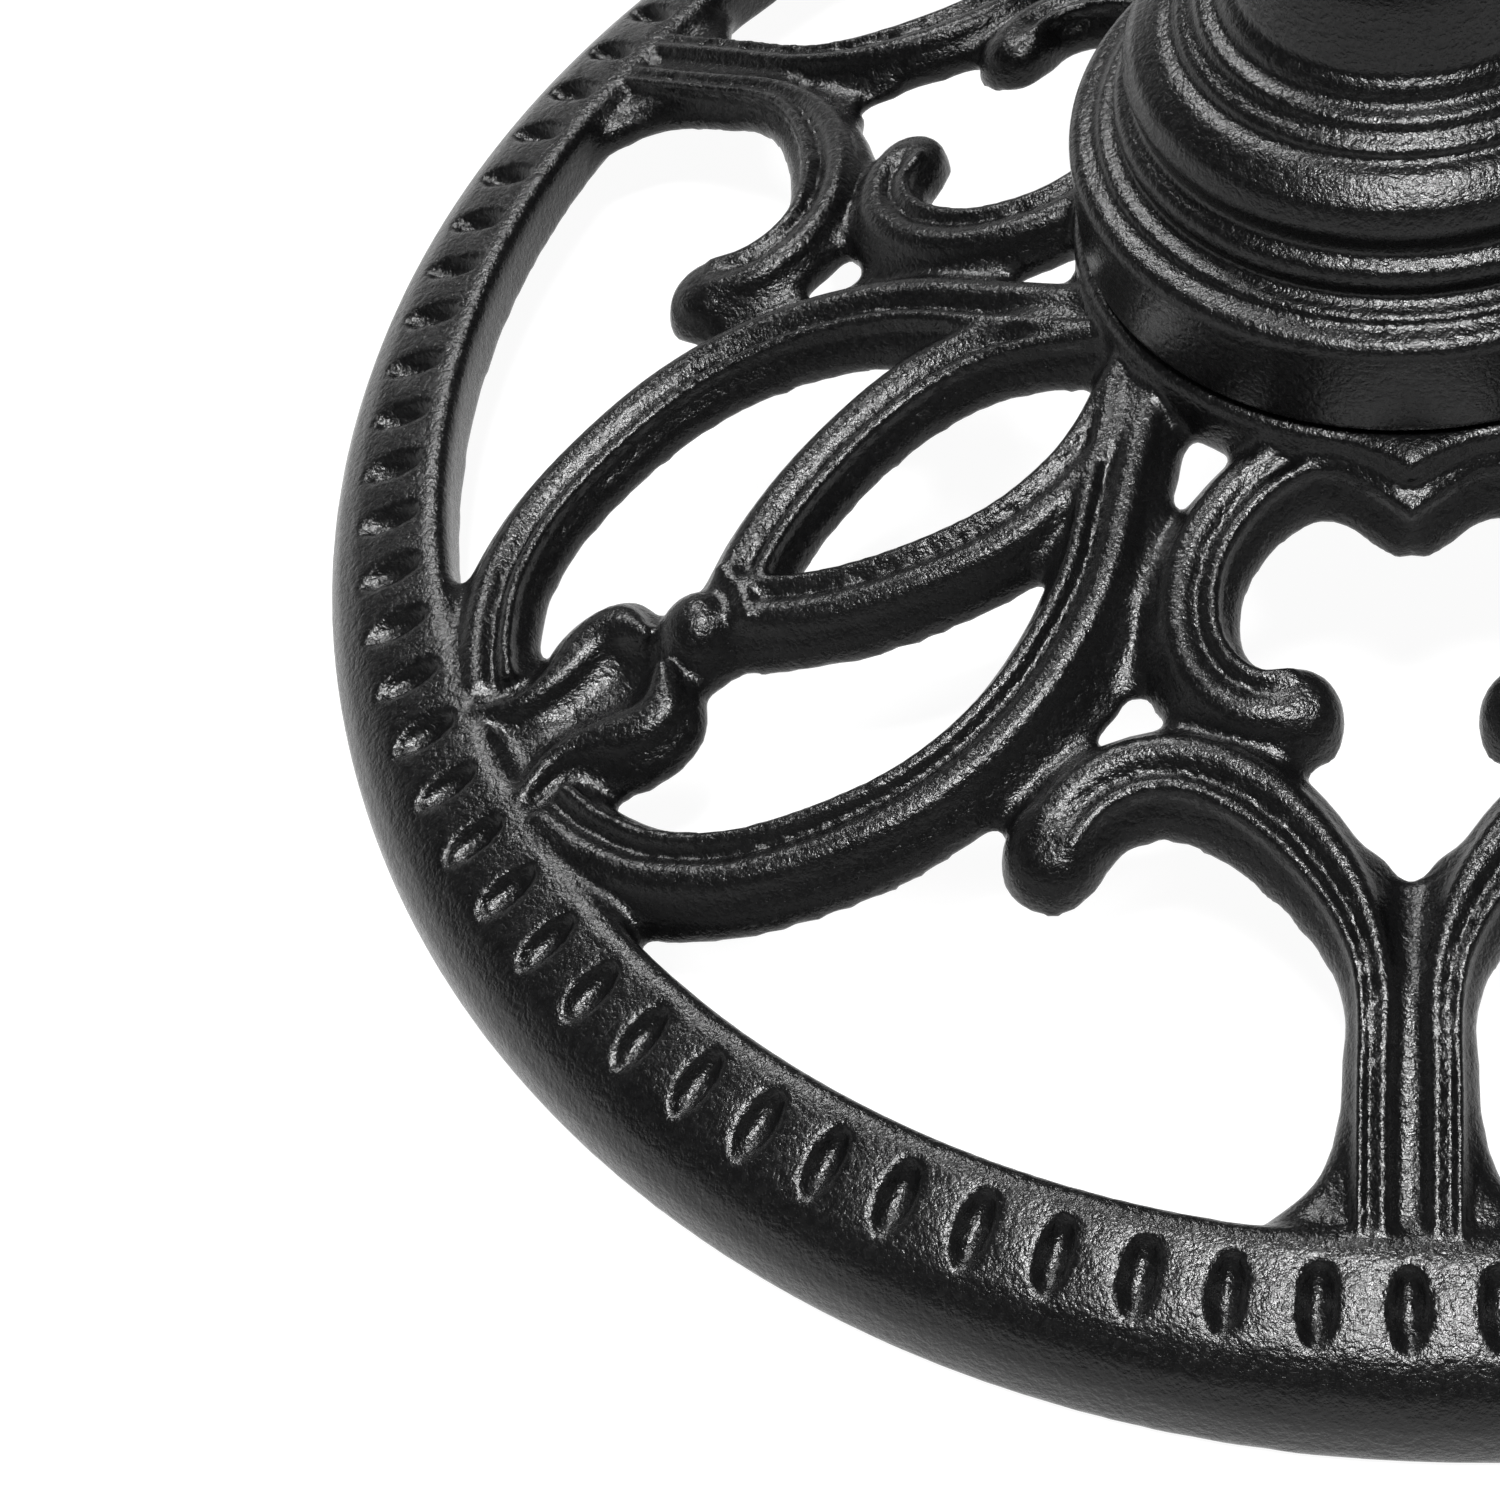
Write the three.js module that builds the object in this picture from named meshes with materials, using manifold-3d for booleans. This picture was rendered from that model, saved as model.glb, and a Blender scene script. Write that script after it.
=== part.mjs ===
// Garden sundial: an openwork cast-iron base, a turned cast column held by one tie rod,
// and a bronze dial head that turns in the capital and is locked by a thumb screw.
// Millimetres, +Z up, origin at the bottom centre of the base, noon line along +Y.
import * as THREE from "three";
import { mergeVertices } from "three/addons/utils/BufferGeometryUtils.js";
import Module from "manifold-3d";

const wasm = await Module();
wasm.setup();

// ---- driving dimensions ----------------------------------------------------
const GAP = 0.3;                 // clearance between touching pieces
const ROUND = 30;                // facets round a large turned piece
const SMALL_ROUND = 18;          // facets round a rod, washer or screw

// base casting
const FOLD = 3;                  // the openwork pattern repeats three times
const BASE_R = 150;
const RIM_ROUND = 54;
const RIM_INNER_R = 130.5;
const CROWN_R = 140;             // the openwork climbs from this radius to the centre
const CROWN_LOW = 16.2;          // height of the bar ridges at CROWN_R
const CROWN_RISE = 37.6;
const CROWN_POWER = 1.13;
const BAR_HALF = 6.8;            // half width of a bar at its underside
const BAR_DEEP = 7.5;
const LEAF_TURN = THREE.MathUtils.degToRad(-150);
const HUB_R = 42.5;
const HUB_TOP = 47;
const HUB_DEEP = 10;

// tie rod and its nuts, M12
const ROD_R = 6;
const ROD_BORE_R = 6.6;
const ROD_BOTTOM = 16;
const ROD_TOP = 589;
const NUT_FLATS = 19;
const NUT_HIGH = 10;

// column, as heights of the joints between its castings
const FOOT_TOP = 112;
const BALUSTER_TOP = 292;
const COLLAR_TOP = 322;
const SHAFT_TOP = 560;
const CAPITAL_TOP = 612;
const SOCKET_R = 13.2;
const SOCKET_FLOOR = 572;

// thumb screw that locks the dial head, M6, along +X
const LOCK_Z = 605;
const LOCK_R = 3;
const LOCK_HEAD_X = 50;

// dial head
const SPIGOT_R = 13.1;
const SPIGOT_BOTTOM = 592;
const FLANGE_R = 31;
const DIAL_R = 115;
const DIAL_BOTTOM = 622;
const DIAL_THICK = 5;
const MARK_RAISED = 0.8;         // how far the hour marks stand off the plate
const MARK_WIDE = 1.6;
const NUMERAL_R = 97;            // centre of the ring of numerals
const NUMERAL_HIGH = 13;
const LATITUDE = THREE.MathUtils.degToRad(52);
const GNOMON_THICK = 6;
const GNOMON_SOUTH_Y = -44;      // where the sloping edge meets the plate
const GNOMON_NORTH_Y = 42;
const GNOMON_SCREW_R = 1.5;
const GNOMON_SCREW_Y = 36;       // both screws lie on the noon line
const GNOMON_SCREW_DEEP = 5;     // how far they reach into the gnomon
const DIAL_SCREW_R = 2.5;
const DIAL_SCREW_RING = 22;

const DIAL_TOP = DIAL_BOTTOM + DIAL_THICK;

// ---- helpers ---------------------------------------------------------------
function toSolid(geometry) {
  const plain = geometry.clone();
  plain.deleteAttribute("normal");
  plain.deleteAttribute("uv");
  const merged = mergeVertices(plain, 1e-4);
  return new wasm.Manifold(new wasm.Mesh({
    numProp: 3,
    vertProperties: new Float32Array(merged.attributes.position.array),
    triVerts: new Uint32Array(merged.index.array),
  }));
}

function toGeometry(solid) {
  const mesh = solid.getMesh();
  const geometry = new THREE.BufferGeometry();
  geometry.setAttribute("position", new THREE.BufferAttribute(mesh.vertProperties, 3));
  geometry.setIndex(new THREE.BufferAttribute(mesh.triVerts, 1));
  return geometry;
}

function joinAll(geometries) {
  return geometries.map(toSolid).reduce((whole, piece) => whole.add(piece));
}

function cut(geometry, cutters) {
  return toGeometry(toSolid(geometry).subtract(joinAll(cutters)));
}

// Turns an (r, z) profile about +Z.
function turned(profile, segments = ROUND) {
  const points = profile.map(([r, z]) => new THREE.Vector2(r, z));
  const geometry = new THREE.LatheGeometry(points, segments);
  geometry.rotateX(Math.PI / 2);
  return geometry;
}

// A turned piece, drawn from the bottom up, with a straight bore through it.
function turnedWithBore(outside, boreR, segments = ROUND) {
  const bottom = outside[0][1];
  const top = outside[outside.length - 1][1];
  return turned([[boreR, bottom], ...outside, [boreR, top], [boreR, bottom]], segments);
}

function upright(radius, z0, z1, segments = SMALL_ROUND) {
  const geometry = new THREE.CylinderGeometry(radius, radius, z1 - z0, segments);
  geometry.rotateX(Math.PI / 2);
  geometry.translate(0, 0, (z0 + z1) / 2);
  return geometry;
}

function washer(radius, boreR, z0, z1) {
  return turnedWithBore([[radius, z0], [radius, z1]], boreR, SMALL_ROUND);
}

function nut(z0) {
  const hexagon = upright(NUT_FLATS / Math.sqrt(3), z0, z0 + NUT_HIGH, 6);
  return cut(hexagon, [upright(ROD_R + GAP, z0 - 1, z0 + NUT_HIGH + 1)]);
}

// ---- base casting ----------------------------------------------------------
function crown(r) {
  return CROWN_LOW + CROWN_RISE * (1 - Math.pow(r / CROWN_R, CROWN_POWER));
}

// Lifts a piece drawn flat, with its ridges at z = 0, onto the domed crown.
function liftToCrown(geometry) {
  const position = geometry.attributes.position;
  for (let i = 0; i < position.count; i++) {
    const r = Math.hypot(position.getX(i), position.getY(i));
    position.setZ(i, position.getZ(i) + crown(r));
  }
  return geometry;
}

// Bar section: x is depth below the ridges, y runs across the bar.
function barSection(halfWidth) {
  const half = [[BAR_DEEP, halfWidth], [BAR_DEEP * 0.6, halfWidth * 0.94], [0, halfWidth * 0.44]];
  const across = [...half, ...half.slice().reverse().map(([x, y]) => [x, -y])];
  return new THREE.Shape(across.map(([x, y]) => new THREE.Vector2(x, y)));
}

function bar(points, steps, halfWidth = BAR_HALF, sunk = 0) {
  const places = points.map(([x, y]) => new THREE.Vector3(x, y, -sunk));
  const options = { steps, extrudePath: new THREE.CatmullRomCurve3(places) };
  return liftToCrown(new THREE.ExtrudeGeometry(barSection(halfWidth), options));
}

// A domed boss at the end of a scroll.
function boss([x, y], radius) {
  const deep = BAR_DEEP + 0.4;
  const geometry = turned([
    [0, -deep], [radius, -deep], [radius * 0.9, -BAR_DEEP * 0.5], [radius * 0.5, 0.2],
    [0, 0.2]], 8);
  geometry.translate(x, y, 0);
  return liftToCrown(geometry);
}

// A low web that fills the corner where bars run close to each other.
function web([x, y], radius) {
  const geometry = turned([
    [0, 0.8 - BAR_DEEP], [radius, 0.8 - BAR_DEEP], [radius, -2.2], [0, -2.2]], 6);
  geometry.translate(x, y, 0);
  return liftToCrown(geometry);
}

// Points given along and across a leaf unit's own axis, turned onto that axis.
function onLeafAxis([along, across]) {
  return [
    Math.cos(LEAF_TURN) * along - Math.sin(LEAF_TURN) * across,
    Math.sin(LEAF_TURN) * along + Math.cos(LEAF_TURN) * across,
  ];
}

// The scrolls beside a stem: a C that ends in a round boss, and half of the trefoil.
function scrollPieces() {
  const cScroll = [[0, -101], [-4, -94], [-9.5, -88], [-17, -81.6], [-25, -77.9],
    [-32, -77.9], [-37.5, -80.8], [-41, -85.5]];
  const trefoil = [[-2, -43], [-9, -40.5], [-16.5, -41.6], [-22.3, -47], [-25.4, -54],
    [-25.6, -61], [-22.6, -67.6], [-18, -70.6], [-13, -70.8]];
  return [
    bar(cScroll, 6, 6.4, 0.3),
    boss([-41, -85.5], 6.5),
    bar(trefoil, 6, 6, 0.5),
    boss([-13, -70.8], 5.7),
    web([-32, -55], 7),
    web([-46, -77], 6),
  ];
}

// Half of a leaf unit: the long outer arm, the leaf arm and one petal of the tulip.
function leafPieces() {
  const outerArm = [[41, -6], [50.4, -17.6], [60.5, -29], [75, -36.8], [91, -38.9],
    [108.9, -34.7], [120, -27.6], [127, -19], [130, -11]];
  const leafArm = [[40, -4], [48.5, -10.1], [56, -13.2], [66, -14], [78.2, -11.4], [89, -6.8],
    [98, 0]];
  const petal = [[105, -2], [108, -7.5], [113, -9], [119, -7.5], [130, -5]];
  return [
    bar(outerArm.map(onLeafAxis), 7),
    bar(leafArm.map(onLeafAxis), 4, 6, 0.4),
    bar(petal.map(onLeafAxis), 2, 6, 0.7),
  ];
}

// What lies on the axes: the stem with its flared foot, the leaf's knob and the tulip's web.
function axisPieces() {
  return [
    bar([[0, -136], [0, -97]], 1, 7.8),
    web([0, -131], 11),
    web([0, -91], 5.5),
    boss(onLeafAxis([102.5, 0]), 6.8),
    web(onLeafAxis([118, 0]), 9),
  ];
}

function rim() {
  return turned([
    [141, 0], [148.6, 0], [BASE_R, 3], [149.3, 8], [146.4, 12.8], [140.5, 16.3],
    [RIM_INNER_R, 18.4], [RIM_INNER_R, 9.6], [139, 6.5], [141, 0]], RIM_ROUND);
}

// The hub plate, with a small cusp pointing down each stem.
function hub() {
  const shape = new THREE.Shape();
  const steps = 12;
  for (let i = 0; i < FOLD * steps; i++) {
    const turn = i / steps;
    const fromCusp = Math.abs(turn - Math.round(turn)) * steps;
    const r = HUB_R + Math.max(0, 1 - fromCusp) * 3;
    const a = -Math.PI / 2 + (turn * 2 * Math.PI) / FOLD;
    shape[i ? "lineTo" : "moveTo"](r * Math.cos(a), r * Math.sin(a));
  }
  const geometry = new THREE.ExtrudeGeometry(shape, { depth: HUB_DEEP, bevelEnabled: false });
  geometry.translate(0, 0, HUB_TOP - HUB_DEEP);
  return geometry;
}

function baseCasting() {
  const half = joinAll([...scrollPieces(), ...leafPieces()]);
  const unit = joinAll(axisPieces()).add(half).add(half.mirror([1, 0, 0]));
  let whole = toSolid(rim()).add(toSolid(hub()));
  for (let i = 0; i < FOLD; i++) {
    whole = whole.add(unit.rotate([0, 0, (i * 360) / FOLD]));
  }
  const bore = toSolid(upright(ROD_BORE_R, 0, HUB_TOP + 1));
  return toGeometry(whole.subtract(bore));
}

// ---- column ----------------------------------------------------------------
function columnFoot() {
  return turnedWithBore([
    [41, HUB_TOP + GAP], [41.6, 49.5], [41.6, 60.5], [40.5, 61.5], [37.5, 62], [35.2, 63.6],
    [35.8, 66], [33.8, 68.4], [34.2, 71.5], [32.6, 75], [28.8, 77.8], [25, 79.6],
    [23.6, 82], [20.6, 83.4], [18.8, 92], [19, 104], [21, FOOT_TOP]], ROD_BORE_R);
}

function baluster() {
  return turnedWithBore([
    [21, FOOT_TOP + GAP], [24.5, 115], [24.5, 120], [18.5, 125], [17, 134], [20, 146],
    [26, 161], [28.6, 178], [26.6, 200], [21, 228], [17, 250], [15.8, 268], [20, 276],
    [20.6, 284], [17.5, BALUSTER_TOP]], ROD_BORE_R);
}

function middleCollar() {
  return turnedWithBore([
    [17.5, BALUSTER_TOP + GAP], [24, 296], [28.4, 300], [30, 307], [28.4, 314],
    [24, 318], [17.5, COLLAR_TOP]], ROD_BORE_R);
}

function upperShaft() {
  return turnedWithBore([
    [17.5, COLLAR_TOP + GAP], [20.5, 325], [20.5, 331], [16.6, 336], [16.2, 380], [15.2, 450],
    [14, 532], [16.6, 538], [16.6, 545], [14.4, 549], [15.6, SHAFT_TOP]], ROD_BORE_R);
}

// The capital has a deep socket for the dial head's spigot, with the tie rod's top nut in it.
function capital() {
  const outside = [
    [15.6, SHAFT_TOP + GAP], [19, 564], [21, 572], [24, 581], [31, 590], [38, 595.5],
    [42.5, 598], [44, 601], [44, 609], [42, CAPITAL_TOP]];
  const body = turned([
    [ROD_BORE_R, SHAFT_TOP + GAP], ...outside, [SOCKET_R, CAPITAL_TOP],
    [SOCKET_R, SOCKET_FLOOR], [ROD_BORE_R, SOCKET_FLOOR], [ROD_BORE_R, SHAFT_TOP + GAP]]);
  return cut(body, [alongX(LOCK_R + GAP, SOCKET_R - 2, 46)]);
}

// ---- tie rod stack ---------------------------------------------------------
function addTieRodStack() {
  const underHub = HUB_TOP - HUB_DEEP - GAP;
  const springTop = underHub - 2.5 - GAP;
  const nutTop = springTop - 3 - GAP;
  const inSocket = SOCKET_FLOOR + GAP;
  const boreR = ROD_R + GAP;
  const split = new THREE.BoxGeometry(8, 2, 8);
  split.translate(9, 0, springTop - 1.5);
  addMesh("tie_rod", upright(ROD_R, ROD_BOTTOM, ROD_TOP), STEEL);
  addMesh("bottom_washer", washer(14, boreR, underHub - 2.5, underHub), STEEL);
  addMesh("bottom_spring_washer",
    cut(washer(10.6, boreR, springTop - 3, springTop), [split]), STEEL);
  addMesh("bottom_nut", nut(nutTop - NUT_HIGH), STEEL);
  addMesh("top_washer", washer(12, boreR, inSocket, inSocket + 2.5), STEEL);
  addMesh("top_nut", nut(inSocket + 2.5 + GAP), STEEL);
}

// ---- lock screw ------------------------------------------------------------
function alongX(radius, x0, x1, segments = SMALL_ROUND) {
  const geometry = upright(radius, x0, x1, segments);
  geometry.rotateY(Math.PI / 2);
  geometry.translate(0, 0, LOCK_Z);
  return geometry;
}

function lockScrew() {
  const wing = new THREE.BoxGeometry(9, 4, 24);
  wing.translate(LOCK_HEAD_X + 6, 0, LOCK_Z);
  return toGeometry(joinAll([
    alongX(LOCK_R, SPIGOT_R + GAP, LOCK_HEAD_X + 2),
    alongX(7, LOCK_HEAD_X - 2, LOCK_HEAD_X + 8),
    wing]));
}

// ---- dial head -------------------------------------------------------------
function at(geometry, x, y) {
  geometry.translate(x, y, 0);
  return geometry;
}

function dialScrewPlaces() {
  return [0, 1, 2].map((i) => {
    const a = (i * 2 * Math.PI) / 3;
    return [DIAL_SCREW_RING * Math.cos(a), DIAL_SCREW_RING * Math.sin(a)];
  });
}

function gnomonScrewPlaces() {
  return [[0, GNOMON_SCREW_Y], [0, -GNOMON_SCREW_Y]];
}

function dialFlange() {
  const flange = turned([
    [0, SPIGOT_BOTTOM], [SPIGOT_R - 1, SPIGOT_BOTTOM], [SPIGOT_R, SPIGOT_BOTTOM + 1],
    [SPIGOT_R, CAPITAL_TOP + GAP], [FLANGE_R - 3, CAPITAL_TOP + GAP], [FLANGE_R, 615],
    [FLANGE_R, DIAL_BOTTOM - GAP], [0, DIAL_BOTTOM - GAP]]);
  const holes = dialScrewPlaces().map(([x, y]) => (
    at(upright(DIAL_SCREW_R + GAP, DIAL_BOTTOM - 6, DIAL_BOTTOM + 1, 12), x, y)));
  return cut(flange, holes);
}

// Where the line of an hour, counted from noon, crosses a ring of the plate.
function hourPoint(hour, ring) {
  const s = Math.sin(LATITUDE);
  const turn = (hour * Math.PI) / 12;
  const a = Math.atan2(s * Math.sin(turn), Math.cos(turn));
  const along = -GNOMON_SOUTH_Y * Math.cos(a);
  const reach = along + Math.sqrt(along * along + ring * ring - GNOMON_SOUTH_Y ** 2);
  return [reach * Math.sin(a), GNOMON_SOUTH_Y + reach * Math.cos(a)];
}

function raisedBar([x0, y0], [x1, y1], width) {
  const long = Math.hypot(x1 - x0, y1 - y0);
  const geometry = new THREE.BoxGeometry(long, width, 1 + MARK_RAISED);
  geometry.rotateZ(Math.atan2(y1 - y0, x1 - x0));
  geometry.translate((x0 + x1) / 2, (y0 + y1) / 2, DIAL_TOP + (MARK_RAISED - 1) / 2);
  return geometry;
}

// The strokes of each numeral letter, in a cell one numeral high.
const LETTERS = {
  I: { wide: 0.24, strokes: [[[0.12, 0], [0.12, 1]]] },
  V: { wide: 0.62, strokes: [[[0.08, 1], [0.31, 0]], [[0.54, 1], [0.31, 0]]] },
  X: { wide: 0.62, strokes: [[[0.08, 1], [0.54, 0]], [[0.08, 0], [0.54, 1]]] },
};
const NUMERALS = ["VI", "VII", "VIII", "IX", "X", "XI", "XII", "I", "II", "III", "IV", "V", "VI"];

function numeral(word, hour) {
  const [cx, cy] = hourPoint(hour, NUMERAL_R);
  const out = Math.atan2(cx, cy);
  const wide = [...word].reduce((sum, letter) => sum + LETTERS[letter].wide, 0);
  const place = ([u, v]) => {
    const across = (u - wide / 2) * NUMERAL_HIGH;
    const up = (v - 0.5) * NUMERAL_HIGH;
    return [
      cx + across * Math.cos(out) + up * Math.sin(out),
      cy - across * Math.sin(out) + up * Math.cos(out),
    ];
  };
  const strokes = [];
  let start = 0;
  for (const letter of word) {
    for (const [from, to] of LETTERS[letter].strokes) {
      const ends = [from, to].map(([u, v]) => place([u + start, v]));
      strokes.push(raisedBar(ends[0], ends[1], MARK_WIDE));
    }
    start += LETTERS[letter].wide;
  }
  return strokes;
}

function dialPlate() {
  const plate = turned([
    [0, DIAL_BOTTOM], [DIAL_R - 3, DIAL_BOTTOM], [DIAL_R, DIAL_BOTTOM + 2],
    [DIAL_R, DIAL_TOP + 0.6], [DIAL_R - 1.4, DIAL_TOP + 1.4], [DIAL_R - 4, DIAL_TOP + 1.4],
    [DIAL_R - 5, DIAL_TOP], [0, DIAL_TOP]], 54);
  const marks = NUMERALS.flatMap((word, i) => {
    const hour = i - 6;
    const line = raisedBar(hourPoint(hour, 56), hourPoint(hour, 84), MARK_WIDE);
    return [line, ...numeral(word, hour)];
  });
  const holes = [
    ...dialScrewPlaces().map(([x, y]) => (
      at(upright(DIAL_SCREW_R + GAP, DIAL_BOTTOM - 1, DIAL_TOP + 1, 12), x, y))),
    ...gnomonScrewPlaces().map(([x, y]) => (
      at(upright(GNOMON_SCREW_R + GAP, DIAL_BOTTOM - 1, DIAL_TOP + 1, 12), x, y)))];
  return toGeometry(toSolid(plate).add(joinAll(marks)).subtract(joinAll(holes)));
}

// An upright plate whose straight edge slopes at the latitude, with a scrolled back.
function gnomon() {
  const high = (GNOMON_NORTH_Y - GNOMON_SOUTH_Y) * Math.tan(LATITUDE);
  const shape = new THREE.Shape();
  shape.moveTo(GNOMON_SOUTH_Y, 0);
  shape.lineTo(GNOMON_NORTH_Y, 0);
  shape.quadraticCurveTo(GNOMON_NORTH_Y - 1, 12, GNOMON_NORTH_Y - 10, 18);
  shape.bezierCurveTo(8, 34, 40, 50, 30, 70);
  shape.quadraticCurveTo(32, 84, GNOMON_NORTH_Y, high);
  const eye = new THREE.Path();
  eye.absellipse(-1, 21, 10, 8, 0, 2 * Math.PI, true);
  shape.holes.push(eye);
  const options = { depth: GNOMON_THICK, bevelEnabled: false, curveSegments: 8 };
  const geometry = new THREE.ExtrudeGeometry(shape, options);
  geometry.rotateX(Math.PI / 2);
  geometry.rotateZ(Math.PI / 2);
  geometry.translate(-GNOMON_THICK / 2, 0, DIAL_TOP + GAP);
  const holes = gnomonScrewPlaces().map(([x, y]) => (
    at(upright(GNOMON_SCREW_R + GAP, DIAL_TOP - 1, DIAL_TOP + GNOMON_SCREW_DEEP + 1, 12), x, y)));
  return cut(geometry, holes);
}

function gnomonScrew() {
  return toGeometry(joinAll([
    upright(GNOMON_SCREW_R, DIAL_BOTTOM - 1, DIAL_TOP + GNOMON_SCREW_DEEP, 12),
    upright(3, DIAL_BOTTOM - GAP - 2.5, DIAL_BOTTOM - GAP, 12)]));
}

function dialScrew() {
  return toGeometry(joinAll([
    upright(DIAL_SCREW_R, DIAL_BOTTOM - 5, DIAL_TOP + 1, 12),
    turned([[0, DIAL_TOP + GAP], [4.6, DIAL_TOP + GAP], [4.2, DIAL_TOP + 1.8],
      [2, DIAL_TOP + 2.9], [0, DIAL_TOP + 2.9]], 12)]));
}

// ---- assembly --------------------------------------------------------------
const model = new THREE.Group();

const IRON = { color: "#151515", roughness: 0.45, metalness: 0.0 };
const STEEL = { color: "#8d9094", roughness: 0.35, metalness: 0.9 };
const BRONZE = { color: "#7a5c33", roughness: 0.5, metalness: 0.8 };

function addMesh(name, geometry, look, place = [0, 0]) {
  const mesh = new THREE.Mesh(geometry, new THREE.MeshStandardMaterial(look));
  mesh.name = name;
  mesh.position.set(place[0], place[1], 0);
  model.add(mesh);
}

addMesh("base_casting", baseCasting(), IRON);
addMesh("column_foot", columnFoot(), IRON);
addMesh("baluster", baluster(), IRON);
addMesh("middle_collar", middleCollar(), IRON);
addMesh("upper_shaft", upperShaft(), IRON);
addMesh("capital", capital(), IRON);
addTieRodStack();
addMesh("lock_screw", lockScrew(), BRONZE);
addMesh("dial_flange", dialFlange(), BRONZE);
addMesh("dial_plate", dialPlate(), BRONZE);
addMesh("gnomon", gnomon(), BRONZE);
gnomonScrewPlaces().forEach((place, i) => {
  addMesh(`gnomon_screw_${i + 1}`, gnomonScrew(), BRONZE, place);
});
dialScrewPlaces().forEach((place, i) => {
  addMesh(`dial_screw_${i + 1}`, dialScrew(), BRONZE, place);
});

export default model;
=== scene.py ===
"""Looks of the garden sundial: castings, fasteners and dial head around the CAD frame."""
import math
import bmesh
import bpy
from mathutils import Matrix, Quaternion, Vector


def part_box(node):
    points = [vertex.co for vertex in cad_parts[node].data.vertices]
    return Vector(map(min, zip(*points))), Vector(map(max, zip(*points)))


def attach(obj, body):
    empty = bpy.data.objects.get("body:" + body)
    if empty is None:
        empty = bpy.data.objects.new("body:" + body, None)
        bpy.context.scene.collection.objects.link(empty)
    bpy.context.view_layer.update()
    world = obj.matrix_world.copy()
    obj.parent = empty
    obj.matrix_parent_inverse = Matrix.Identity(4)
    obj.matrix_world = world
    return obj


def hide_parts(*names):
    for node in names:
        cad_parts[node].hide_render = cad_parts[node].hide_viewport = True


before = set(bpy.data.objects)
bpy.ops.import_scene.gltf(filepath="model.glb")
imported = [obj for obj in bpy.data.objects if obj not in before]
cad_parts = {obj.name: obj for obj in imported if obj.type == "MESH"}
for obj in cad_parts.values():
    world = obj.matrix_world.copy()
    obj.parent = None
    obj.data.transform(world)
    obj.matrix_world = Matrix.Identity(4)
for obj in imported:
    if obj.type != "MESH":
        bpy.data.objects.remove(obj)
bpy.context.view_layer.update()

MM = 0.001
TAU = 2 * math.pi

# ---- places taken from the frame -------------------------------------------
BASE_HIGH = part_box("base_casting")[1]
FOOT_LOW, FOOT_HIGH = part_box("column_foot")
BALUSTER_LOW, BALUSTER_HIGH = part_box("baluster")
COLLAR_LOW, COLLAR_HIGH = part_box("middle_collar")
SHAFT_LOW, SHAFT_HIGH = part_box("upper_shaft")
CAPITAL_LOW, CAPITAL_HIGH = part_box("capital")
ROD_LOW, ROD_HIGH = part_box("tie_rod")
LOCK_LOW, LOCK_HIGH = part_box("lock_screw")
FLANGE_LOW, FLANGE_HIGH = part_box("dial_flange")
PLATE_LOW, PLATE_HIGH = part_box("dial_plate")
GNOMON_LOW, GNOMON_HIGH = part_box("gnomon")

# ---- sizes of the base in millimetres ---------------------------------------
BASE_R = BASE_HIGH[0] / MM
RIM_INNER_R = 130.5
RIM_SEGMENTS = 240
FOLD = 3                      # the openwork repeats three times round the base

# The tops of the bars lie on a shallow crown, from CROWN_LOW at CROWN_R up towards the hub.
CROWN_R = 140
CROWN_LOW = 16.2
CROWN_RISE = 37.6
CROWN_POWER = 1.13

BAR_HALF = 6.8
BAR_DEEP = 7.5
BROAD_RIDGE = (-1.5, 2.6)     # each bar has a broad ridge and a fine one: across, radius
FINE_RIDGE = (3.1, 1.15)
RIDGE_SIDES = 12
PETAL_CREST_R = 2.7
COLLAR_RIDGE_R = 1.2
KNOB_R = 6.4
KNOB_RISE = 1.5
LEAF_TURN = math.radians(-150)

HUB_R = 42.5
HUB_TOP = 47
HUB_DEEP = 10
HUB_CUSP = 3.6
ROD_BORE_R = 6.6

NOTCHES = 90
NOTCH_R = 139
NOTCH_Z = 16.5
NOTCH_SLOPE = math.atan2(3, 9.8)
NOTCH_HALF_LONG = 4.9
NOTCH_HALF_WIDE = 2.0
NOTCH_DEEP = 1.9
NOTCH_WOBBLE = 0.06           # the notches' widths differ by up to this share

# The base's bodies are melted together, softened, ridged and melted together again.
ROUGH_VOXEL = 1.0
ROUGH_SMOOTHING = 7
FINE_VOXEL = 0.62
FINE_SMOOTHING = 3
BASE_TRIANGLES = 185000


# ---- mesh helpers -----------------------------------------------------------
def new_object(name, bm):
    """Links a new object with the faces of bm, and frees bm."""
    mesh = bpy.data.meshes.new(name)
    bm.normal_update()
    bm.to_mesh(mesh)
    bm.free()
    obj = bpy.data.objects.new(name, mesh)
    bpy.context.scene.collection.objects.link(obj)
    return obj


def shade(obj, sharp_degrees=None):
    """Smooth shading, with a hard edge wherever faces meet at more than sharp_degrees."""
    for polygon in obj.data.polygons:
        polygon.use_smooth = True
    if sharp_degrees:
        obj.data.set_sharp_from_angle(angle=math.radians(sharp_degrees))


def apply_modifiers(obj):
    depsgraph = bpy.context.evaluated_depsgraph_get()
    mesh = bpy.data.meshes.new_from_object(obj.evaluated_get(depsgraph))
    old = obj.data
    obj.modifiers.clear()
    obj.data = mesh
    bpy.data.meshes.remove(old)


def take_in(bm, part):
    """Moves every face of the bmesh part into bm."""
    mesh = bpy.data.meshes.new("part")
    part.to_mesh(mesh)
    part.free()
    bm.from_mesh(mesh)
    bpy.data.meshes.remove(mesh)


def add_to(obj, part):
    """Moves every face of the bmesh part into an object's mesh."""
    bm = bmesh.new()
    bm.from_mesh(obj.data)
    take_in(bm, part)
    bm.to_mesh(obj.data)
    bm.free()


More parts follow.
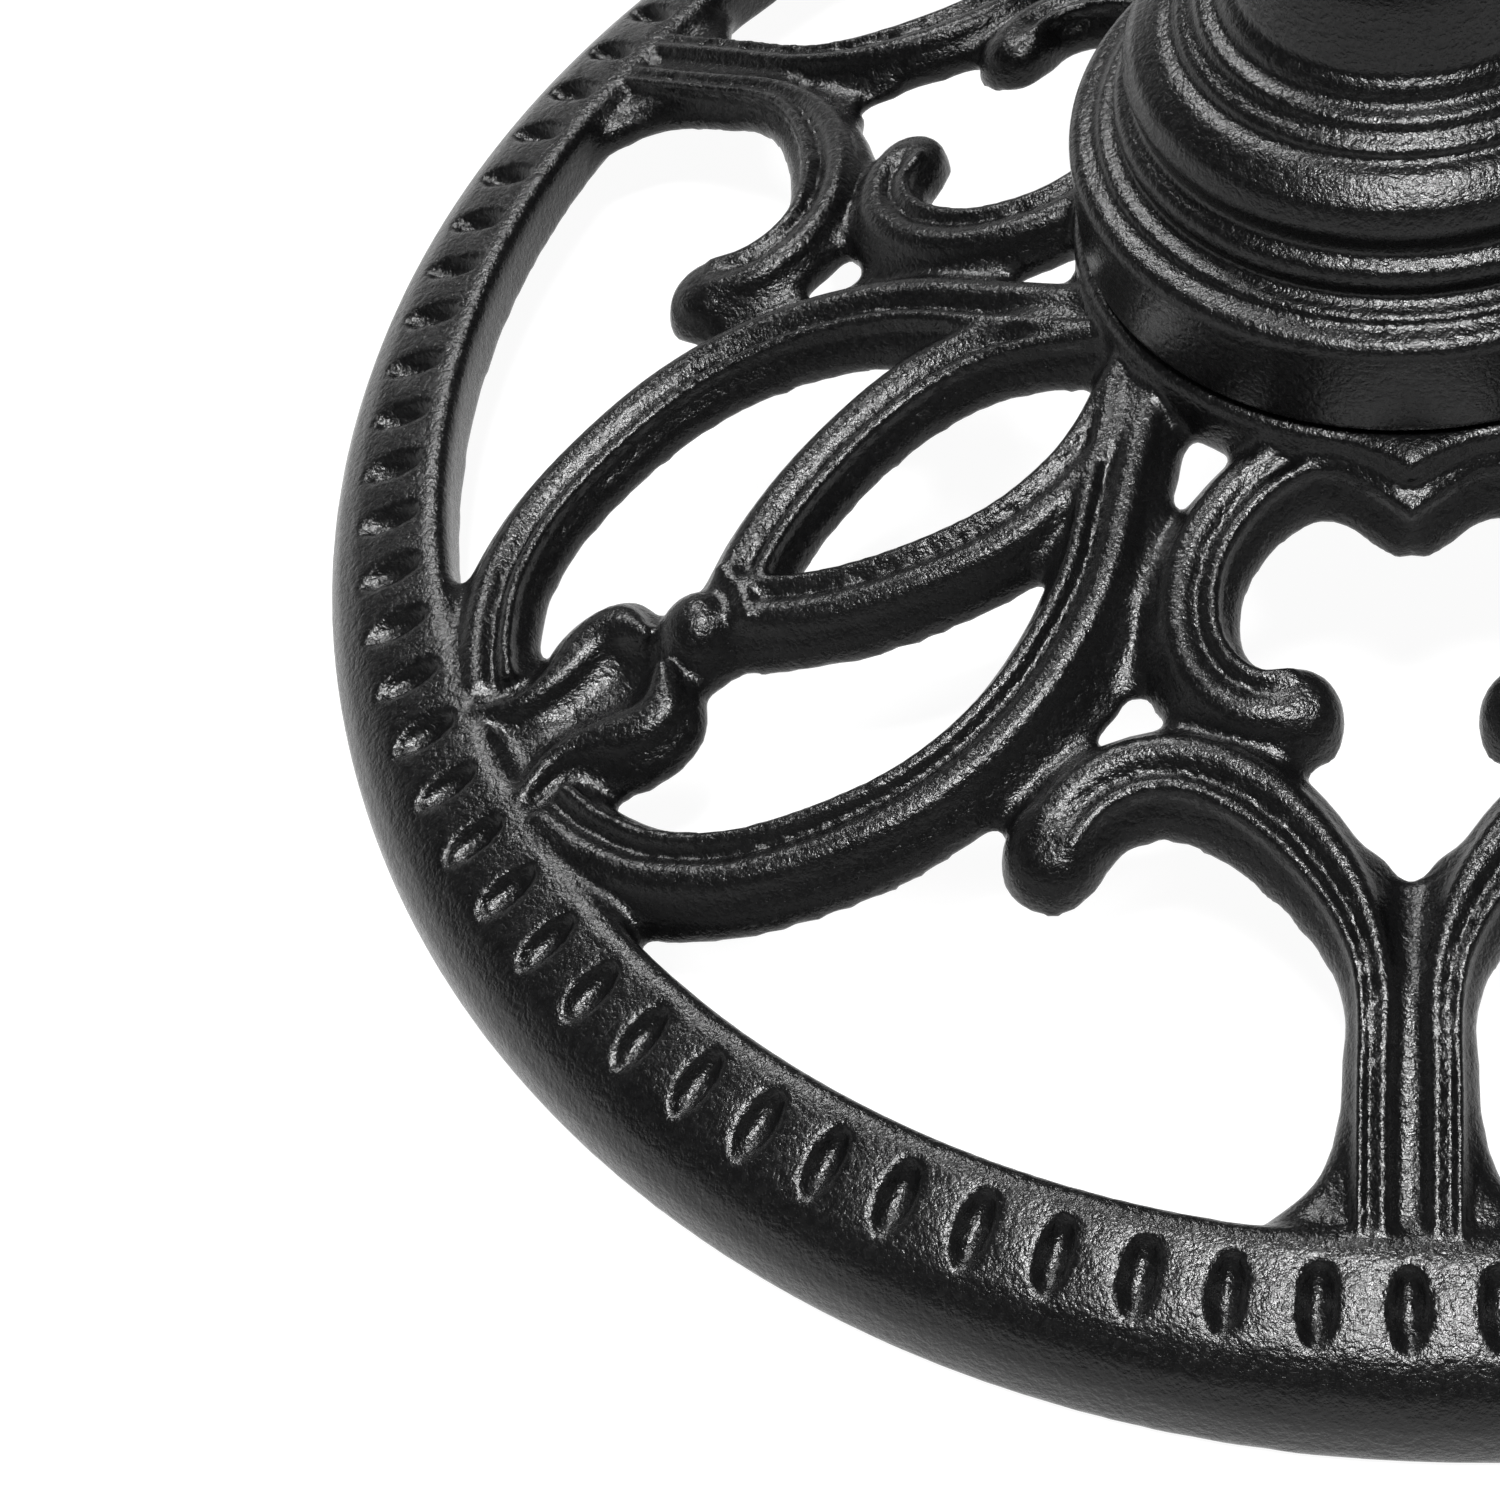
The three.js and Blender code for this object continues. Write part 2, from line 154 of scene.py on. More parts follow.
def cut_with(obj, cutter, operation="DIFFERENCE"):
    modifier = obj.modifiers.new("cut", "BOOLEAN")
    modifier.operation = operation
    modifier.solver = "MANIFOLD"
    modifier.object = cutter
    apply_modifiers(obj)
    bpy.data.objects.remove(cutter)


def grid_surface(bm, rows):
    """Quads between rings of points in millimetres."""
    verts = [[bm.verts.new(Vector(p) * MM) for p in row] for row in rows]
    for a, b in zip(verts, verts[1:]):
        for i in range(len(a)):
            j = (i + 1) % len(a)
            bm.faces.new((a[i], a[j], b[j], b[i]))
    return verts


def cap_ends(bm, verts):
    bm.faces.new(list(reversed(verts[0])))
    bm.faces.new(verts[-1])


def rounded(profile, radius, steps=4):
    """Replaces each inner corner of an (r, z) outline by a short curve."""
    points = [profile[0]]
    for before, corner, after in zip(profile, profile[1:], profile[2:]):
        c = Vector(corner)
        to_before = Vector(before) - c
        to_after = Vector(after) - c
        a = c + to_before.normalized() * min(radius, to_before.length * 0.45)
        b = c + to_after.normalized() * min(radius, to_after.length * 0.45)
        for i in range(steps + 1):
            t = i / steps
            points.append(tuple(a * (1 - t) ** 2 + c * 2 * t * (1 - t) + b * t * t))
    points.append(profile[-1])
    return points


def lathe(bm, profile, segments=160, closed=False):
    """Turns an (r, z) profile in millimetres about +Z; closed joins its last point to its first."""
    outline = list(profile) + ([profile[0]] if closed else [])
    rings = []
    for r, z in outline:
        if r == 0:
            rings.append([bm.verts.new((0, 0, z * MM))])
            continue
        rings.append([
            bm.verts.new((r * MM * math.cos(TAU * i / segments),
                          r * MM * math.sin(TAU * i / segments), z * MM))
            for i in range(segments)])
    for a, b in zip(rings, rings[1:]):
        for i in range(segments):
            j = (i + 1) % segments
            corners = [a[i % len(a)], a[j % len(a)], b[j % len(b)], b[i % len(b)]]
            unique = list(dict.fromkeys(corners))
            if len(unique) > 2:
                bm.faces.new(unique)
    bmesh.ops.remove_doubles(bm, verts=bm.verts, dist=1e-7)
    bmesh.ops.recalc_face_normals(bm, faces=bm.faces)


def turned(name, outside, radius, segments=160):
    """A turned casting with the tie rod's bore, its corners softened by radius."""
    soft = rounded(outside, radius)
    loop = [(ROD_BORE_R, outside[0][1]), *soft, (ROD_BORE_R, outside[-1][1])]
    bm = bmesh.new()
    lathe(bm, loop, segments, closed=True)
    obj = new_object(name, bm)
    shade(obj, 40)
    return obj


# ---- base casting -----------------------------------------------------------
def crown(r):
    """The height of the ridges' tops at a distance r from the axis."""
    return CROWN_LOW + CROWN_RISE * (1 - (r / CROWN_R) ** CROWN_POWER)


def smooth_path(points, step=1.0):
    """Points every step or so along a Catmull-Rom curve through the given ones."""
    given = [Vector(p) for p in points]
    ends = [given[0] * 2 - given[1], *given, given[-1] * 2 - given[-2]]
    path = []
    for p0, p1, p2, p3 in zip(ends, ends[1:], ends[2:], ends[3:]):
        count = max(2, round((p2 - p1).length / step))
        for i in range(count):
            t = i / count
            path.append(0.5 * ((2 * p1) + (p2 - p0) * t + (2 * p0 - 5 * p1 + 4 * p2 - p3) * t * t
                               + (3 * p1 - p0 - 3 * p2 + p3) * t ** 3))
    path.append(given[-1])
    return path


def between(values, t):
    """The value at t, from 0 to 1, along evenly spaced ones."""
    x = t * (len(values) - 1)
    i = min(int(x), len(values) - 2)
    return values[i] + (values[i + 1] - values[i]) * (x - i)


def sweep(bm, points, section, widths=(1, 1)):
    """Sweeps a closed section of (across, depth) points along a plan curve on the crown."""
    path = smooth_path(points)
    rows = []
    for i, p in enumerate(path):
        tangent = (path[min(i + 1, len(path) - 1)] - path[max(i - 1, 0)]).normalized()
        side = Vector((-tangent.y, tangent.x))
        wide = between(widths, i / (len(path) - 1))
        row = []
        for across, depth in section:
            q = p + side * across * wide
            row.append((q.x, q.y, crown(q.length) - depth))
        rows.append(row)
    cap_ends(bm, grid_surface(bm, rows))


def body_section(half, sunk):
    """A bar's rounded body, which lies a little below the crown so that its ridges stand out."""
    side = [(1.0, BAR_DEEP), (0.98, 5.6), (0.88, 3.7), (0.70, 2.4), (0.42, 1.7)]
    right = [(half * k, depth + sunk) for k, depth in side]
    return right + [(-across, depth) for across, depth in reversed(right)]


def round_section(half, sunk, steps=14, power=0.8):
    """A plain bar with a half-round top."""
    top = [(half * math.cos(a), BAR_DEEP - (BAR_DEEP - sunk) * math.sin(a) ** power)
           for a in (math.pi * i / steps for i in range(1, steps))]
    return [(half, BAR_DEEP), *top, (-half, BAR_DEEP)]


def ridge_section(centre, radius, sunk=0.0):
    """A round bead whose top just passes the crown when sunk is nothing."""
    depth = radius * 0.98 + sunk
    angles = [TAU * i / RIDGE_SIDES for i in range(RIDGE_SIDES)]
    return [(centre + radius * math.cos(a), depth + radius * math.sin(a)) for a in angles]


def dome(bm, place, radius, top, power, rings=7, segments=28):
    """A round boss whose crown lies top above the ridges; a higher power makes it blunter."""
    x, y = place
    rows = []
    for k in range(1, rings + 1):
        f = k / rings
        drop = (BAR_DEEP + top) * (1 - (1 - f ** power) ** (1 / power))
        row = []
        for i in range(segments):
            a = TAU * i / segments
            q = Vector((x + radius * f * math.cos(a), y + radius * f * math.sin(a)))
            row.append((q.x, q.y, crown(q.length) + top - drop))
        rows.append(row)
    cap_ends(bm, grid_surface(bm, rows))


def on_leaf_axis(place):
    """The plan place of a point given along and across the axis of a leaf."""
    along, across = place
    c, s = math.cos(LEAF_TURN), math.sin(LEAF_TURN)
    return (c * along - s * across, s * along + c * across)


# Centre lines of the bars in plan. The scroll and the trefoil are those on the left of a stem, and
# the curves of the leaf, the petal and the collar are given along and across the leaf's axis.
C_SCROLL = [(-3.7, -131), (-3.7, -116), (-3.7, -104), (-6, -95.5), (-10.5, -88.2), (-17, -81.8),
            (-25, -77.9), (-32, -77.9), (-37.5, -80.8), (-41, -85.5)]
C_SCROLL_WIDTHS = (0.55, 0.55, 0.55, 0.62, 0.85, 1, 1, 1, 1)
TREFOIL = [(2.4, -46), (-3.5, -41.6), (-8, -39.4), (-13, -39.4), (-19, -43), (-23.6, -49), (-25.6, -55),
           (-25.4, -62), (-22.6, -67.6), (-18, -70.6), (-13, -70.8)]
OUTER_ARM = [(41, -6), (50.4, -17.2), (60.5, -28.6), (75, -36.9), (91, -39.2), (108.9, -34.9),
             (120, -27.6), (126, -19), (129, -11)]
LEAF_ARM = [(40, -4), (48.5, -10.1), (56, -13.4), (66, -14.4), (78.2, -11.8), (89, -7), (98, 0)]
PETAL = [(108, -2.4), (110.5, -7.4), (114.5, -8.2), (120, -6), (126, -5.4), (133, -9)]
PETAL_WIDTHS = (0.5, 1.1, 1.1, 0.85, 0.7, 1.0)
PETAL_CREST_WIDTHS = (0.5, 1.3, 1.2, 0.8, 0.6, 0.5)
COLLAR = [(96.4, -5), (95.6, 0), (96.4, 5)]
KNOB = (102.4, 0)
STEM = [(0, -134), (0, -118), (0, -102)]
STEM_FLARE = [(-3.2, -108), (-3.8, -118), (-7, -126), (-14, -132)]


def leaf(points):
    return [on_leaf_axis(p) for p in points]


def mirrored(points):
    return [(-x, y) for x, y in points]


def turned_by(points, turn):
    c, s = math.cos(turn), math.sin(turn)
    return [(c * x - s * y, s * x + c * y) for x, y in points]


def repeated(half, alone=()):
    """Mirrors the half pattern and turns the whole of it to every third of the base.

    Each row is a list of plan points and what goes with them; the hand, 1 or -1, is put between.
    """
    unit = [(points, 1, *rest) for points, *rest in half]
    unit += [(mirrored(points), -1, *rest) for points, *rest in half]
    unit += [(points, 1, *rest) for points, *rest in alone]
    return [(turned_by(points, i * TAU / FOLD), *rest) for i in range(FOLD) for points, *rest in unit]


def ridged_curves():
    """The bars with ridges: plan curve, hand, half width, sinking and how the width varies."""
    return repeated([
        (C_SCROLL, 6.5, 0.1, C_SCROLL_WIDTHS),
        (TREFOIL, 6.1, 0.1, (1, 1)),
        (leaf(OUTER_ARM), 6.9, 0.0, (1, 1)),
        (leaf(LEAF_ARM), 6.2, 0.3, (1, 1)),
    ])


def plain_curves():
    """The bars without ridges: petals, stems and the flares that spread into the rim."""
    return repeated([
        (leaf(PETAL), 5.8, 1.6, PETAL_WIDTHS),
        (STEM_FLARE, 4.6, 2.2, (1, 1)),
    ], [(STEM, 7.0, 1.6, (1, 1))])


def pattern_bosses():
    """Every boss, and the round patches of the webs that fill the corners between the bars.

    Each row has a plan point, radius, height over the ridges and bluntness.
    """
    return repeated([
        ([C_SCROLL[-1]], 6.8, -0.3, 2.6),
        ([TREFOIL[-1]], 6.0, -0.3, 2.6),
        ([(-26.5, -45.2)], 3.0, -5.0, 4),
        ([(-5, -89.2)], 3.8, -4.4, 3),
        ([(-30.2, -50.2)], 6.6, -5.0, 4),
        ([(-33.5, -60.5)], 6.4, -5.0, 4),
        ([(-27.6, -66)], 3.2, -5.0, 4),
        ([(-37, -67)], 3.4, -5.0, 4),
        ([(-41, -70.5)], 5.0, -5.0, 4),
        ([(-44, -75.5)], 7.2, -5.0, 4),
    ], [
        ([(0, -98)], 5.0, -3.4, 3),
        ([(0, -93.5)], 4.8, -4.4, 3),
        (leaf([KNOB]), 7.6, -1.6, 2.4),
        (leaf([(112, 0)]), 7, -4.4, 5),
        (leaf([(121, 0)]), 8, -4.2, 5),
        (leaf([(128, 0)]), 7, -2.8, 4),
    ])


def rim_profile():
    """The rim's section: a rounded band that is open underneath."""
    return [(141, 0), (148.4, 0), (149.7, 1.4), (BASE_R, 4.5), (149.2, 8.4), (147.2, 12),
            (144, 14.7), (139.5, 16.6), (135, 17.9), (131.6, 18.6), (RIM_INNER_R, 17.6),
            (RIM_INNER_R - 0.2, 9.6), (134, 9.2), (139, 6.5)]


def hub_outline(steps=24):
    """The hub plate's edge, with a cusp pointing down each stem."""
    points = []
    for i in range(FOLD * steps):
        turn = i / steps
        from_cusp = abs(turn - round(turn)) * steps / 2
        r = HUB_R + max(0.0, 1 - from_cusp) ** 1.5 * HUB_CUSP
        a = -math.pi / 2 + turn * TAU / FOLD
        points.append((r * math.cos(a), r * math.sin(a)))
    return points


def add_hub(bm):
    """The plate under the column, with chamfered edges."""
    rows = []
    for inset, z in ((1.5, HUB_TOP - HUB_DEEP), (0, HUB_TOP - HUB_DEEP + 1.5),
                     (0, HUB_TOP - 0.8), (0.8, HUB_TOP)):
        rows.append([(x * (1 - inset / HUB_R), y * (1 - inset / HUB_R), z)
                     for x, y in hub_outline()])
    cap_ends(bm, grid_surface(bm, rows))


def remesh(obj, voxel, smooth_steps):
    """Melts everything in a mesh into one skin and softens it."""
    modifier = obj.modifiers.new("voxels", "REMESH")
    modifier.mode = "VOXEL"
    modifier.voxel_size = voxel * MM
    modifier.use_smooth_shade = True
    smoothing = obj.modifiers.new("smoothing", "SMOOTH")
    smoothing.factor = 0.5
    smoothing.iterations = smooth_steps
    apply_modifiers(obj)


def notch_cutters():
    """One flattened ball for each notch, lying along the slope of the rim."""
    bm = bmesh.new()
    lying = Matrix.Translation((NOTCH_R, 0, NOTCH_Z)) @ Matrix.Rotation(NOTCH_SLOPE, 4, "Y")
    for i in range(NOTCHES):
        a = -math.pi / 2 + TAU * i / NOTCHES
        wide = NOTCH_HALF_WIDE * (1 + NOTCH_WOBBLE * math.sin(i * 2.4))
        size = Matrix.Diagonal((NOTCH_HALF_LONG, wide, NOTCH_DEEP, 1))
        made = bmesh.ops.create_uvsphere(bm, u_segments=20, v_segments=12, radius=1.0)
        for v in made["verts"]:
            v.co = Matrix.Rotation(a, 4, "Z") @ lying @ size @ v.co * MM
    return new_object("notch_cutters", bm)


def bore_cutter():
    bm = bmesh.new()
    lathe(bm, [(0, 20), (ROD_BORE_R, 20), (ROD_BORE_R, 60), (0, 60)], 64)
    return new_object("bore_cutter", bm)


def base_bodies():
    """Everything of the base but its ridges and notches, as closed bodies that overlap."""
    bm = bmesh.new()
    for points, _, half, sunk, widths in ridged_curves():
        sweep(bm, points, body_section(half, sunk), widths)
    for points, _, half, sunk, widths in plain_curves():
        sweep(bm, points, round_section(half, sunk), widths)
    for (place,), _, radius, top, power in pattern_bosses():
        dome(bm, place, radius, top, power)
    add_hub(bm)
    rim = bmesh.new()
    lathe(rim, rim_profile(), RIM_SEGMENTS, closed=True)
    take_in(bm, rim)
    bmesh.ops.recalc_face_normals(bm, faces=bm.faces)
    return new_object("base_casting_fine", bm)


def add_ridges(obj):
    """Joins the ridges of every bar, the petals' crests and the knobs to the softened bodies."""
    ridges = bmesh.new()
    for points, hand, half, sunk, widths in ridged_curves():
        for across, radius in (BROAD_RIDGE, FINE_RIDGE):
            section = ridge_section(hand * across * half / BAR_HALF, radius, sunk)
            sweep(ridges, points, section, widths)
    for points, _ in repeated([(leaf(PETAL),)]):
        sweep(ridges, points, ridge_section(0, PETAL_CREST_R), PETAL_CREST_WIDTHS)
    for i in range(FOLD):
        turn = i * TAU / FOLD
        sweep(ridges, turned_by(leaf(COLLAR), turn), ridge_section(0, COLLAR_RIDGE_R, -0.2))
        dome(ridges, turned_by(leaf([KNOB]), turn)[0], KNOB_R, KNOB_RISE, power=2.1)
    bmesh.ops.recalc_face_normals(ridges, faces=ridges.faces)
    add_to(obj, ridges)


def base_casting():
    """The openwork base as one casting, with soft fillets where the bars meet."""
    obj = base_bodies()
    remesh(obj, ROUGH_VOXEL, ROUGH_SMOOTHING)
    cut_with(obj, notch_cutters())
    cut_with(obj, bore_cutter())
    add_ridges(obj)
    remesh(obj, FINE_VOXEL, FINE_SMOOTHING)
    triangles = sum(len(polygon.vertices) - 2 for polygon in obj.data.polygons)
    modifier = obj.modifiers.new("lighter", "DECIMATE")
    modifier.ratio = BASE_TRIANGLES / triangles
    apply_modifiers(obj)
    shade(obj)
    return obj


# ---- column castings --------------------------------------------------------
def millimetres(value):
    return value / MM


def column_foot():
    z0 = millimetres(FOOT_LOW[2])
    z1 = millimetres(FOOT_HIGH[2])
    outside = [
        (40.6, z0), (41.5, z0 + 0.9), (41.6, 60.2), (40.6, 61.4), (38.2, 61.9), (37.6, 62.8),
        (36.0, 63.0), (34.9, 63.8), (35.8, 65.6), (35.2, 67.4), (33.4, 68.2), (33.2, 69.4),
        (34.2, 72.0), (32.9, 74.8), (29.6, 77.0), (27.6, 77.4), (27.2, 78.6), (25.2, 79.4),
        (24.6, 80.6), (22.4, 81.0), (21.6, 82.6), (20.2, 83.6), (18.8, 92), (19, 104), (21, z1)]
    return turned("column_foot_fine", outside, 0.9, 200)


def baluster():
    z0 = millimetres(BALUSTER_LOW[2])
    z1 = millimetres(BALUSTER_HIGH[2])
    outside = [
        (21, z0), (23.6, z0 + 1.2), (24.6, z0 + 4), (24.6, z0 + 6.4), (23.4, z0 + 9),
        (19.2, z0 + 10), (18.4, z0 + 12.8), (17, 134), (17.8, 140), (20, 147), (23.2, 154),
        (26, 162), (27.8, 170), (28.6, 179), (28.2, 189), (26.6, 200), (24, 214), (21, 229),
        (18.6, 242), (17, 253), (16, 262), (15.8, 268), (16.6, 271), (19.6, 272.6), (20.6, 276),
        (20.6, 282), (19.6, 285), (18, 286), (17.5, z1)]
    return turned("baluster_fine", outside, 2.4)


def middle_collar():
    z0 = millimetres(COLLAR_LOW[2])
    z1 = millimetres(COLLAR_HIGH[2])
    outside = [
        (17.5, z0), (18.4, z0 + 1.6), (22.6, z0 + 2.2), (23.8, z0 + 4), (24.4, z0 + 6),
        (27.6, z0 + 7.2), (29.6, z0 + 11), (30, z0 + 15), (29.6, z0 + 19), (27.6, z0 + 22.6),
        (24.4, z0 + 23.8), (23.8, z0 + 26), (22.4, z0 + 27.4), (18.4, z0 + 28.2), (17.5, z1)]
    return turned("middle_collar_fine", outside, 1.4)


def upper_shaft():
    z0 = millimetres(SHAFT_LOW[2])
    z1 = millimetres(SHAFT_HIGH[2])
    outside = [
        (17.5, z0), (20, z0 + 1.2), (20.6, z0 + 4), (20.4, z0 + 8), (17.4, z0 + 10),
        (16.9, z0 + 13), (16.5, 345), (16.2, 390), (15.6, 440), (14.8, 490), (14, 530),
        (14.4, 533.6), (16.2, 535), (16.8, 541.5), (16.2, 548), (14.6, 549.4), (14.6, 553),
        (15.6, z1)]
    return turned("upper_shaft_fine", outside, 1.6)


def capital():
    """The flared top of the column, with the dial head's socket and the lock screw's hole."""
    z0 = millimetres(CAPITAL_LOW[2])
    z1 = millimetres(CAPITAL_HIGH[2])
    socket_r = 13.2
    socket_floor = 572
    socket_edge = 0.5
    lock_hole_r = 3.3
    outside = [
        (15.6, z0), (18.4, z0 + 1.6), (19.4, z0 + 4), (19.2, z0 + 7.6), (20.4, z0 + 9),
        (21, 573), (22.4, 578), (25, 583), (29, 588), (34, 592.6), (38, 595.2), (38.4, 596.4),
        (41.6, 597.6), (43.2, 599.4), (44, 602), (44, 608.4), (43.4, 610.4), (42, z1)]
    soft = rounded(outside, 1.4)
    loop = [(ROD_BORE_R, z0), *soft, (socket_r + socket_edge, z1), (socket_r, z1 - socket_edge),
            (socket_r, socket_floor), (ROD_BORE_R, socket_floor)]
    bm = bmesh.new()
    lathe(bm, loop, 160, closed=True)
    obj = new_object("capital_fine", bm)
    hole = bmesh.new()
    lathe(hole, [(0, 8), (lock_hole_r, 8), (lock_hole_r, 60), (0, 60)], 32)
    bmesh.ops.rotate(hole, verts=hole.verts, matrix=Matrix.Rotation(math.pi / 2, 3, "Y"))
    lock_z = (LOCK_LOW[2] + LOCK_HIGH[2]) / 2
    bmesh.ops.translate(hole, verts=hole.verts, vec=(0, 0, lock_z))
    cut_with(obj, new_object("lock_hole", hole))
    shade(obj, 40)
    return obj


# ---- fasteners --------------------------------------------------------------
ROD_PITCH = 1.75
ROD_THREAD_DEEP = 0.9
ROD_THREAD_LONG = 32
ROD_CHAMFER = 1.2
WASHER_BORE_R = 6.3
NUT_FLATS = 19
NUT_BORE_R = 6.35
LOCK_R = 3
LOCK_PITCH = 1.0
LOCK_THREAD_DEEP = 0.5
LOCK_HEAD = 47.6              # where the thumb screw's shank meets its head, from the column's axis


def threaded(bm, radius, z0, z1, pitch, deep, segments=48, steps=6):
    """A rod with a helical V thread; its ends are left open for a cap."""
    rows = []
    count = max(2, round((z1 - z0) / pitch * steps))
    for k in range(count + 1):
        z = z0 + (z1 - z0) * k / count
        fade = min(1.0, (z - z0) / pitch, (z1 - z) / pitch)
        row = []
        for i in range(segments):
            turn = (z / pitch - i / segments) % 1.0
            r = radius - deep * fade * abs(2 * turn - 1)
            row.append((r * math.cos(TAU * i / segments), r * math.sin(TAU * i / segments), z))
        rows.append(row)
    grid_surface(bm, rows)


def tie_rod():
    """The long rod, threaded and chamfered at both ends."""
    radius = millimetres(ROD_HIGH[0])
    z0 = millimetres(ROD_LOW[2])
    z1 = millimetres(ROD_HIGH[2])
    low, high = z0 + ROD_THREAD_LONG, z1 - ROD_THREAD_LONG
    tip = radius - ROD_CHAMFER
    bm = bmesh.new()
    threaded(bm, radius, z0 + ROD_CHAMFER, low, ROD_PITCH, ROD_THREAD_DEEP)
    lathe(bm, [(radius, low), (radius - 0.1, 300), (radius, high)], 48)
    threaded(bm, radius, high, z1 - ROD_CHAMFER, ROD_PITCH, ROD_THREAD_DEEP)
    lathe(bm, [(0, z0), (tip, z0), (radius, z0 + ROD_CHAMFER)], 48)
    lathe(bm, [(radius, z1 - ROD_CHAMFER), (tip, z1), (0, z1)], 48)
    bmesh.ops.remove_doubles(bm, verts=bm.verts, dist=1e-6)
    bmesh.ops.recalc_face_normals(bm, faces=bm.faces)
    obj = new_object("tie_rod_fine", bm)
    shade(obj, 50)
    return obj


def washer(node, edge=0.35):
    """A ring with rounded edges, as wide and thick as the node."""
    low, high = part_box(node)
    r, z0, z1 = (millimetres(v) for v in (high[1], low[2], high[2]))
    bore_r = WASHER_BORE_R
    bm = bmesh.new()
    section = [(bore_r + edge, z0), (r - edge, z0), (r, z0 + edge), (r, z1 - edge),
               (r - edge, z1), (bore_r + edge, z1), (bore_r, z1 - edge), (bore_r, z0 + edge)]
    lathe(bm, section, 96, closed=True)
    obj = new_object(f"{node}_fine", bm)
    shade(obj, 40)
    return obj


def spring_washer(node, split_wide=1.6, split_long=8, split_r=9, slant=math.radians(35)):
    """A washer with a slanting split on its +X side."""
    obj = washer(node)
    low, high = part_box(node)
    bm = bmesh.new()
    bmesh.ops.create_cube(bm, size=1)
    bmesh.ops.scale(bm, verts=bm.verts, vec=(split_long * MM, split_wide * MM, split_long * MM))
    bmesh.ops.rotate(bm, verts=bm.verts, matrix=Matrix.Rotation(slant, 3, "X"))
    bmesh.ops.translate(bm, verts=bm.verts, vec=(split_r * MM, 0, (low[2] + high[2]) / 2))
    cut_with(obj, new_object("split", bm))
    shade(obj, 30)
    return obj


def hex_nut(node, chamfer_r=9.6, chamfer_drop=0.9, past=0.1):
    """A hexagon nut with chamfered corners and a countersunk bore."""
    low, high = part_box(node)
    z0, z1 = millimetres(low[2]), millimetres(high[2])
    corner_r = NUT_FLATS / math.sqrt(3)
    bm = bmesh.new()
    lathe(bm, [(6.3, z0 + 1), (7.2, z0), (corner_r, z0), (corner_r, z1), (7.2, z1), (6.3, z1 - 1)],
          6, closed=True)
    obj = new_object(f"{node}_fine", bm)
    chamfer = bmesh.new()
    wide = corner_r + 0.4
    lathe(chamfer, [(0, z0 - past), (chamfer_r, z0 - past), (wide, z0 + chamfer_drop),
                    (wide, z1 - chamfer_drop), (chamfer_r, z1 + past), (0, z1 + past)], 96)
    cut_with(obj, new_object("chamfer", chamfer), "INTERSECT")
    bore = bmesh.new()
    lathe(bore, [(0, z0 - 1), (NUT_BORE_R, z0 - 1), (NUT_BORE_R, z1 + 1), (0, z1 + 1)], 64)
    cut_with(obj, new_object("nut_bore", bore))
    shade(obj, 25)
    return obj


def lock_screw():
    """A thumb screw: threaded shank, shouldered head and two rounded wings.

    It is made standing on +Z and then laid along +X.
    """
    x0 = millimetres(LOCK_LOW[0])
    lock_z = (LOCK_LOW[2] + LOCK_HIGH[2]) / 2
    half_span = millimetres((LOCK_HIGH[2] - LOCK_LOW[2]) / 2)
    chamfer = 0.6
    bm = bmesh.new()
    threaded(bm, LOCK_R, x0 + chamfer, LOCK_HEAD, LOCK_PITCH, LOCK_THREAD_DEEP, 32)
    lathe(bm, [(0, x0), (LOCK_R - chamfer, x0), (LOCK_R, x0 + chamfer)], 32)
    head = [(LOCK_R, LOCK_HEAD), (4.6, 48), (6.6, 48.4), (7, 49.4), (6.8, 52), (6.2, 54),
            (6.6, 56.6), (5.6, 59), (3, 60), (0, 60.2)]
    lathe(bm, rounded(head, 0.8), 64)
    wings = bmesh.new()
    wing_share = 0.46             # each wing's half length as a share of half the span
    wing_half_thick = 2.0
    wing_half_deep = 4.6
    wing_middle = 56.7
    for side in (-1, 1):
        made = bmesh.ops.create_uvsphere(wings, u_segments=32, v_segments=20, radius=1)
        for v in made["verts"]:
            across = v.co.x * wing_share + side * (1 - wing_share)
            v.co = Vector((across * half_span, v.co.y * wing_half_thick,
                           v.co.z * wing_half_deep + wing_middle)) * MM
    take_in(bm, wings)
    bmesh.ops.rotate(bm, verts=bm.verts, matrix=Matrix.Rotation(math.pi / 2, 3, "Y"))
    bmesh.ops.translate(bm, verts=bm.verts, vec=(0, 0, lock_z))
    obj = new_object("lock_screw_fine", bm)
    shade(obj, 50)
    return obj


# ---- dial head --------------------------------------------------------------
DIAL_TOP = 627                # the plate's face
LATITUDE = math.radians(52)
GNOMON_SOUTH = millimetres(GNOMON_LOW[1])
SPIGOT_R = 13.1
FLANGE_FACE = 612.3
NUMERAL_R = 97
NUMERAL_HIGH = 13
SERIF_HALF = 0.1              # as a share of a numeral's height
SERIF_WIDE = 0.7
MARK_WIDE = 1.6
MARK_RAISED = 0.8
MARK_SUNK = 0.3
HOUR_LINE = (46, 86)          # the radii where the hour lines start and end
TICK_OUTER = 85.6
HALF_TICK_INNER = 78.5
QUARTER_TICK_INNER = 80.5
RING_LINES = ((86.6, 0.9), (77, 0.6), (107, 0.9), (40, 0.6))
RING_RAISED = 0.55
ROSE_RAYS = 24
ROSE_INNER = 29
ROSE_REACH = 33
ROSE_LONG_REACH = 38.5


